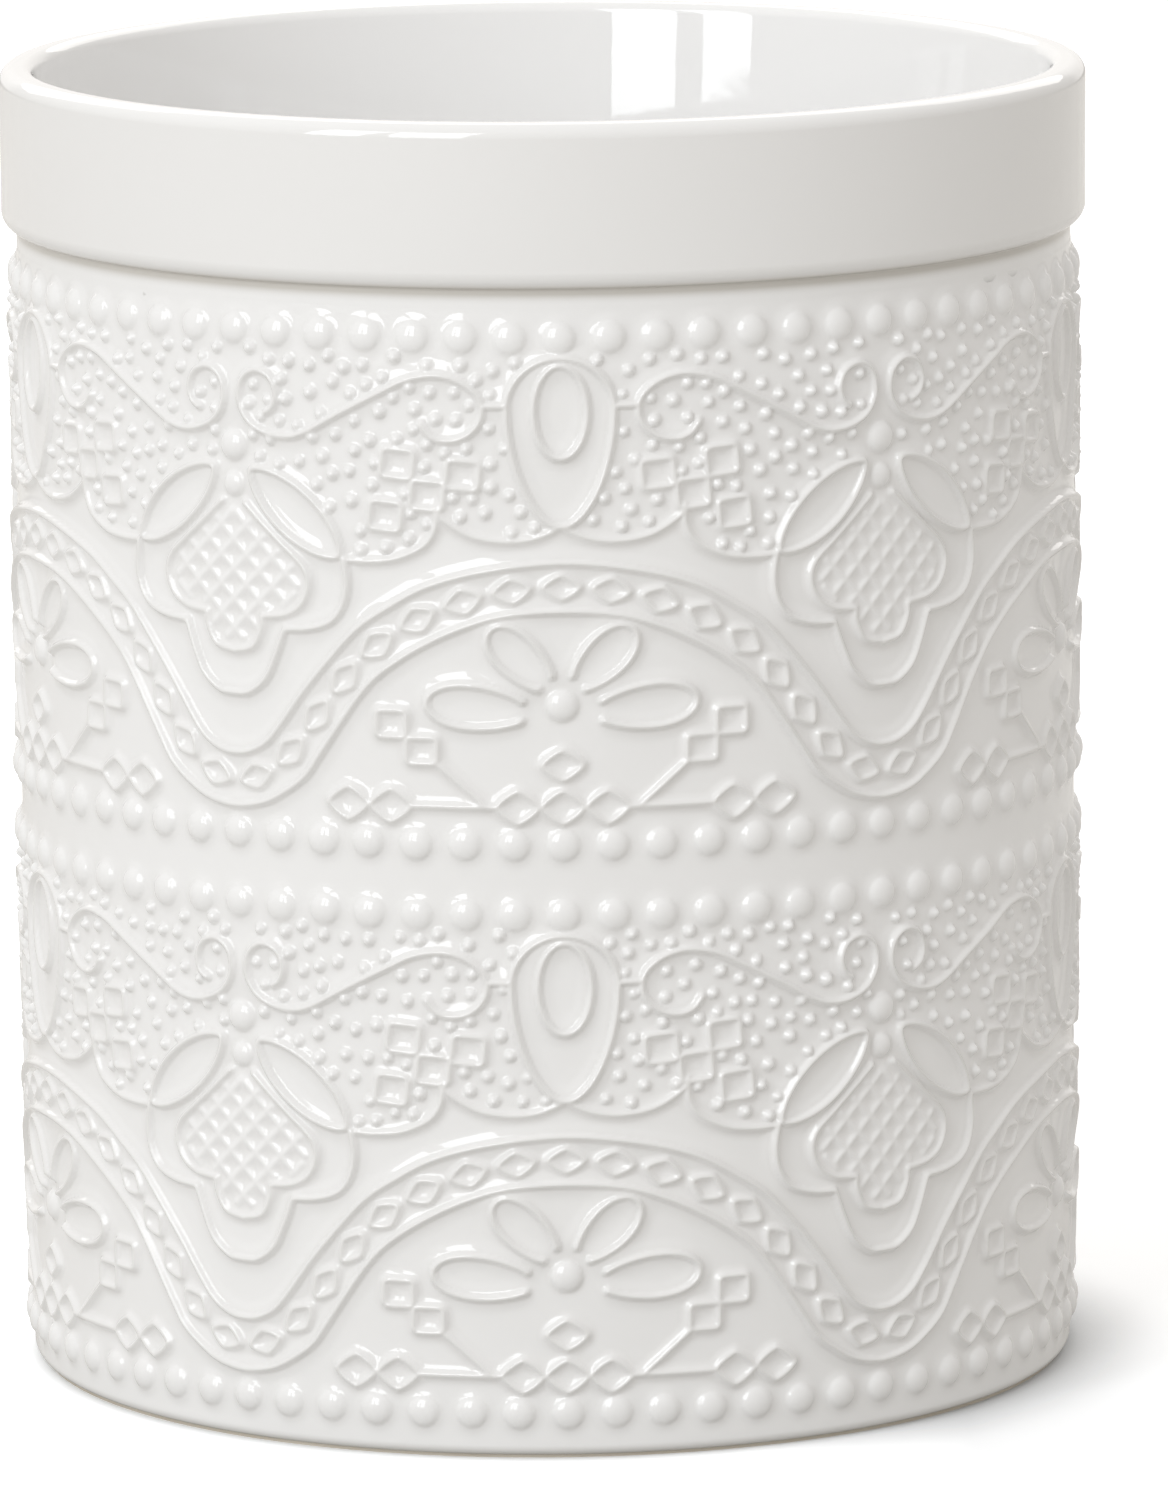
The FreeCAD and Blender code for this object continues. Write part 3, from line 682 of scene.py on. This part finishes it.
def outside_profile():
    """The profile from the underside, up behind the panels, round the crease and collar to the rim."""
    hidden = WALL_RADIUS - HIDDEN_WALL
    neck = WALL_RADIUS - SEAM_DEPTH
    join = COLLAR_FOOT - NECK_JOIN
    outline = [(radius, WALL_FOOT + rise) for radius, rise in UNDERSIDE]
    behind = (WALL_FOOT + HIDDEN_FOOT, HIDDEN_MIDDLE, join - NECK_OVERLAP - HIDDEN_STOP)
    outline += [(hidden, z) for z in behind]
    under = (COLLAR_RADIUS - COLLAR_UNDER_ROUND, COLLAR_FOOT + CREASE_RISE + COLLAR_UNDER_ROUND)
    crease = neck + CREASE_ROUND
    fall = math.sqrt((COLLAR_UNDER_ROUND + CREASE_ROUND) ** 2 - (crease - under[0]) ** 2)
    meeting = math.degrees(math.atan2(fall, crease - under[0]))
    outline.append((neck, join - NECK_OVERLAP))
    outline += [(neck, z) for z in np.linspace(join, under[1] - fall, NECK_ROWS, endpoint=False)]
    outline += arc((crease, under[1] - fall), CREASE_ROUND, 180, 180 - meeting, count=10)
    outline += arc(under, COLLAR_UNDER_ROUND, -meeting, 0, count=18)[1:]
    outline += [(COLLAR_RADIUS, COLLAR_FOOT + s * (RIM - COLLAR_FOOT)) for s in COLLAR_SHARES]
    rim = (COLLAR_RADIUS - RIM_OUTER_ROUND, RIM - RIM_OUTER_ROUND)
    return outline + arc(rim, RIM_OUTER_ROUND, 0, RIM_TOP_ANGLES[0], count=16)


def inside_profile():
    """The profile from the rim down the flared mouth and the straight bore to the middle of the floor."""
    slope = math.degrees(math.atan2(MOUTH_RADIUS - BORE_RADIUS, RIM - COLLAR_FOOT))
    rim = (MOUTH_RADIUS + RIM_INNER_ROUND, RIM - RIM_INNER_ROUND)
    outline = arc(rim, RIM_INNER_ROUND, RIM_TOP_ANGLES[1], 180 - slope, count=14)
    top = outline[-1]
    flare = (top[0] - BORE_RADIUS, top[1] - COLLAR_FOOT)
    outline += [(top[0] - s * flare[0], top[1] - s * flare[1]) for s in FLARE_SHARES]
    start = outline[-1]
    bend = (start[0] - BORE_RADIUS, 2 * (start[0] - BORE_RADIUS) * flare[1] / flare[0])
    outline += [(start[0] - bend[0] * (2 * s - s**2), start[1] - bend[1] * s) for s in BEND_SHARES]
    outline += [(BORE_RADIUS, z) for z in BORE_HEIGHTS]
    cove = (BORE_RADIUS - FLOOR_COVE, FLOOR_TOP + FLOOR_COVE)
    outline += arc(cove, FLOOR_COVE, 0, -90, count=16)
    return outline + [(radius, FLOOR_TOP) for radius in FLOOR_RADII]


def shell_painted_shade(profile):
    """Depth of painted shade along the profile: in the crease under the collar, just below it, and over the
    face of the collar.
    """
    radius, height = profile.T
    drop = height - COLLAR_FOOT - CREASE_RISE + CREASE_ROUND
    crease = CREASE_PAINTED_SHADE * np.exp(-((drop / np.where(drop > 0, *CREASE_REACH)) ** 2))
    crease[(radius < WALL_RADIUS - CREASE_MARGINS[0]) | (radius > COLLAR_RADIUS - CREASE_MARGINS[1])] = 0
    collar = COLLAR_PAINTED_SHADE * np.clip((radius - COLLAR_RADIUS + COLLAR_FADE) / COLLAR_FADE, 0, 1)
    return np.maximum(crease, collar)


def make_shell(glaze):
    """The rest of the glazed crock, turned round the axis: underside, neck, collar, rim and inside."""
    profile = np.array(outside_profile() + inside_profile())
    height = profile[:, 1:]
    angle = (np.arange(-1, TURNED_STEPS + 2) * 2 * math.pi / TURNED_STEPS)[None, :]
    uneven = np.clip((height - COLLAR_FOOT - SHELL_WAVES["start"]) / SHELL_WAVES["fade"], 0, 1)
    uneven = SHELL_WAVES["rise"] * uneven * waves(angle, height, SEED + 2, SHELL_WAVES["length"])
    points = round_the_axis(profile[:, :1] + uneven, angle, height)
    normals = grid_normals(points)
    faces, layout = grid_faces(len(profile), TURNED_STEPS + 1)
    points = points[:, 1:-1].reshape(-1, 3)
    # painted shade in the crease and over the collar's face
    tint_and_painted_shade = np.repeat(shell_painted_shade(profile), TURNED_STEPS + 1)
    piece = new_mesh("glazed_shell", points, normals.reshape(-1, 3), faces, layout, tint_and_painted_shade)
    piece.data.materials.append(glaze)
    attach(piece, "root")
    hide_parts("crock_wall", "crock_floor", "rim_collar")


def node(tree, kind, inputs=None, **settings):
    """A shader node with its inputs set or linked."""
    made = tree.nodes.new(kind)
    for key, value in settings.items():
        setattr(made, key, value)
    for key, value in (inputs or {}).items():
        if isinstance(value, bpy.types.NodeSocket):
            tree.links.new(value, made.inputs[key])
        else:
            made.inputs[key].default_value = value
    return made


def noise(tree, place, scale, detail):
    """A cloudy value that changes from place to place."""
    inputs = {"Vector": place, "Scale": scale, "Detail": detail}
    return node(tree, "ShaderNodeTexNoise", inputs).outputs["Fac"]


def carried(tree, value, given, made, clamp=True):
    """A value carried over from one range to another."""
    inputs = {"Value": value, "From Min": given[0], "From Max": given[1]}
    inputs |= {"To Min": made[0], "To Max": made[1]}
    return node(tree, "ShaderNodeMapRange", inputs, clamp=clamp).outputs["Result"]


def mixed_colour(tree, share, first, second):
    """A colour between two colours."""
    inputs = {"Factor": share, 6: first, 7: second}
    return node(tree, "ShaderNodeMix", inputs, data_type="RGBA").outputs[2]


def mixed_value(tree, share, first, second):
    """A value between two values."""
    inputs = {"Factor": share, 2: first, 3: second}
    return node(tree, "ShaderNodeMix", inputs, data_type="FLOAT").outputs[0]


def mixed_shader(tree, share, first, second):
    """A surface between two surfaces."""
    return node(tree, "ShaderNodeMixShader", {0: share, 1: first, 2: second}).outputs[0]


def diffuse(tree, colour):
    """A matt surface."""
    return node(tree, "ShaderNodeBsdfDiffuse", {"Color": colour}).outputs[0]


def bumped(tree, height, strength, distance):
    """A surface direction roughened by a height."""
    inputs = {"Height": height, "Strength": strength, "Distance": distance}
    return node(tree, "ShaderNodeBump", inputs).outputs["Normal"]


def new_material(name):
    """An empty material and its node tree."""
    material = bpy.data.materials.new(name)
    material.use_nodes = True
    tree = material.node_tree
    tree.nodes.clear()
    return material, tree


def glaze_material():
    """Glossy white glaze, a little warmer and greyer where tinted: thin or pooled glaze, and painted shade.
    """
    material, tree = new_material("white_glaze")
    place = node(tree, "ShaderNodeTexCoord").outputs["Object"]
    cloud = noise(tree, place, 28.0, 3.0)
    grain = noise(tree, place, 260.0, 2.0)
    # warm grey from the attribute: thin glaze at crests and foot, pooled glaze, and painted shade in
    # hollows, the crease and on the collar
    tint_and_painted_shade = node(tree, "ShaderNodeAttribute", attribute_name="tint_and_painted_shade").outputs["Fac"]
    depth = carried(tree, tint_and_painted_shade, (0.15, 1.0), (0.0, GLAZE_TINT_AND_SHADE_SHARE), clamp=False)
    inputs = {
        "Base Color": mixed_colour(tree, depth, mixed_colour(tree, cloud, *GLAZE_WHITES), GLAZE_TINT_AND_SHADE),
        "Roughness": carried(tree, cloud, (0.3, 0.7), (0.02, 0.04)),
        "Normal": bumped(tree, grain, 0.05, 0.0001),
        "IOR": 1.65,
    }
    shader = node(tree, "ShaderNodeBsdfPrincipled", inputs)
    node(tree, "ShaderNodeOutputMaterial", {"Surface": shader.outputs[0]})
    return material


def clay_material():
    """Bare fired clay, fine-grained and matt."""
    material, tree = new_material("bare_clay")
    place = node(tree, "ShaderNodeTexCoord").outputs["Object"]
    cloud = noise(tree, place, 90.0, 4.0)
    grain = noise(tree, place, 1500.0, 2.0)
    inputs = {
        "Base Color": mixed_colour(tree, cloud, *CLAY_TONES),
        "Roughness": 0.85,
        "Normal": bumped(tree, grain, 0.4, 0.0002),
    }
    shader = node(tree, "ShaderNodeBsdfPrincipled", inputs)
    node(tree, "ShaderNodeOutputMaterial", {"Surface": shader.outputs[0]})
    return material


def floor_material():
    """A floor that keeps the shadow and has a painted contact shadow; the camera sees it brighter than lit,
    less so at the right.
    """
    material, tree = new_material("white_floor")
    path = node(tree, "ShaderNodeLightPath")
    # painted contact shadow: the floor's colour darkens where the crock is close
    painted_shadow_ao = node(tree, "ShaderNodeAmbientOcclusion", {"Distance": 0.02}).outputs["AO"]
    white = diffuse(tree, mixed_colour(tree, carried(tree, painted_shadow_ao, (0.45, 0.9), (0.0, 1.0)), *FLOOR_PAINTED_SHADOW_AND_WHITE))
    twice = node(tree, "ShaderNodeAddShader", {0: white, 1: white}).outputs[0]
    place = node(tree, "ShaderNodeSeparateXYZ", {0: node(tree, "ShaderNodeTexCoord").outputs["Object"]})
    brighter = carried(tree, place.outputs["X"], (0.025, 0.055), (1.0, 0.21))
    seen = mixed_shader(tree, brighter, white, twice)
    bounce, mirrored = diffuse(tree, FLOOR_BOUNCE), diffuse(tree, FLOOR_MIRRORED)
    lit = mixed_shader(tree, path.outputs["Is Glossy Ray"], bounce, mirrored)
    surface = mixed_shader(tree, path.outputs["Is Camera Ray"], lit, seen)
    node(tree, "ShaderNodeOutputMaterial", {"Surface": surface})
    return material


def make_stage():
    """The floor that the crock stands on."""
    mesh = bpy.data.meshes.new("floor")
    ways = ((-1, -1), (1, -1), (1, 1), (-1, 1))
    mesh.from_pydata([(FLOOR_HALF * x, FLOOR_HALF * y, 0) for x, y in ways], [], [(0, 1, 2, 3)])
    mesh.materials.append(floor_material())
    floor = bpy.data.objects.new("floor", mesh)
    bpy.context.scene.collection.objects.link(floor)


def make_lamp(name, azimuth, elevation, distance, size, radiance, colour):
    """A flat lamp that faces the crock; azimuth is to the right of the front, in degrees."""
    lamp = bpy.data.lights.new(name, "AREA")
    lamp.shape = "RECTANGLE"
    lamp.size, lamp.size_y = size
    lamp.energy = radiance * math.pi * size[0] * size[1]
    lamp.color = colour
    made = bpy.data.objects.new(name, lamp)
    bpy.context.scene.collection.objects.link(made)
    a, e = math.radians(azimuth), math.radians(elevation)
    way = Vector((math.sin(a) * math.cos(e), -math.cos(a) * math.cos(e), math.sin(e)))
    made.location = Vector(LAMP_TARGET) + way * distance
    made.rotation_mode = "QUATERNION"
    made.rotation_quaternion = (-way).to_track_quat("-Z", "Y")


def make_room():
    """A pale room, lighter at the left; mirrored views show a bright backdrop, the camera plain white."""
    world = bpy.data.worlds.new("surroundings")
    bpy.context.scene.world = world
    world.use_nodes = True
    tree = world.node_tree
    tree.nodes.clear()
    path = node(tree, "ShaderNodeLightPath")
    camera, mirror = path.outputs["Is Camera Ray"], path.outputs["Is Glossy Ray"]
    way = node(tree, "ShaderNodeSeparateXYZ", {0: node(tree, "ShaderNodeTexCoord").outputs["Generated"]})
    room = carried(tree, way.outputs["X"], (-1.0, 1.0), (1.05 * ROOM, 0.95 * ROOM))
    backdrop = carried(tree, way.outputs["Y"], (0.86, 0.92), (room, 1.0))
    level = mixed_value(tree, camera, mixed_value(tree, mirror, room, backdrop), 1.0)
    colour = mixed_colour(tree, camera, ROOM_COLOUR, WHITE)
    sky = node(tree, "ShaderNodeBackground", {"Color": colour, "Strength": level})
    node(tree, "ShaderNodeOutputWorld", {"Surface": sky.outputs[0]})


def make_light():
    """A two-paned window to the left of the camera, a glow from the backdrop and the room."""
    for name, azimuth, size in PANES:
        make_lamp(name, azimuth, size=size, radiance=WINDOW, colour=WINDOW_COLOUR, **PANE_PLACE)
    glow = {"size": BACKLIGHT_SIZE, "radiance": BACKLIGHT, "colour": BACKLIGHT_COLOUR}
    make_lamp("backlight", **BACKLIGHT_PLACE, **glow)
    make_room()


def make_camera():
    """The photograph's long lens, a little above the rim."""
    data = bpy.data.cameras.new("camera")
    data.sensor_width = SENSOR
    data.lens = LENS
    data.clip_end = FAR_CLIP
    camera = bpy.data.objects.new("camera", data)
    bpy.context.scene.collection.objects.link(camera)
    yaw, pitch, roll = (math.radians(a) for a in YAW_PITCH_ROLL)
    ahead = Vector((math.sin(yaw) * math.cos(pitch), math.cos(yaw) * math.cos(pitch), -math.sin(pitch)))
    right = Vector((math.cos(yaw), -math.sin(yaw), 0))
    up = right.cross(ahead)
    leaned = right * math.cos(roll) + up * math.sin(roll)
    upright = leaned.cross(ahead)
    axes = Matrix((leaned, upright, -ahead)).transposed().to_4x4()
    axes.translation = Vector(CAMERA_PLACE) * MM
    camera.matrix_world = Matrix.Rotation(math.radians(CAMERA_TURN), 4, "Z") @ axes
    bpy.context.scene.camera = camera


glaze = glaze_material()
make_relief_panels(glaze)
make_shell(glaze)
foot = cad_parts["foot_ring"]
foot.data.materials.clear()
foot.data.materials.append(clay_material())
make_stage()
make_light()
make_camera()
bpy.context.scene.view_settings.view_transform = "Standard"
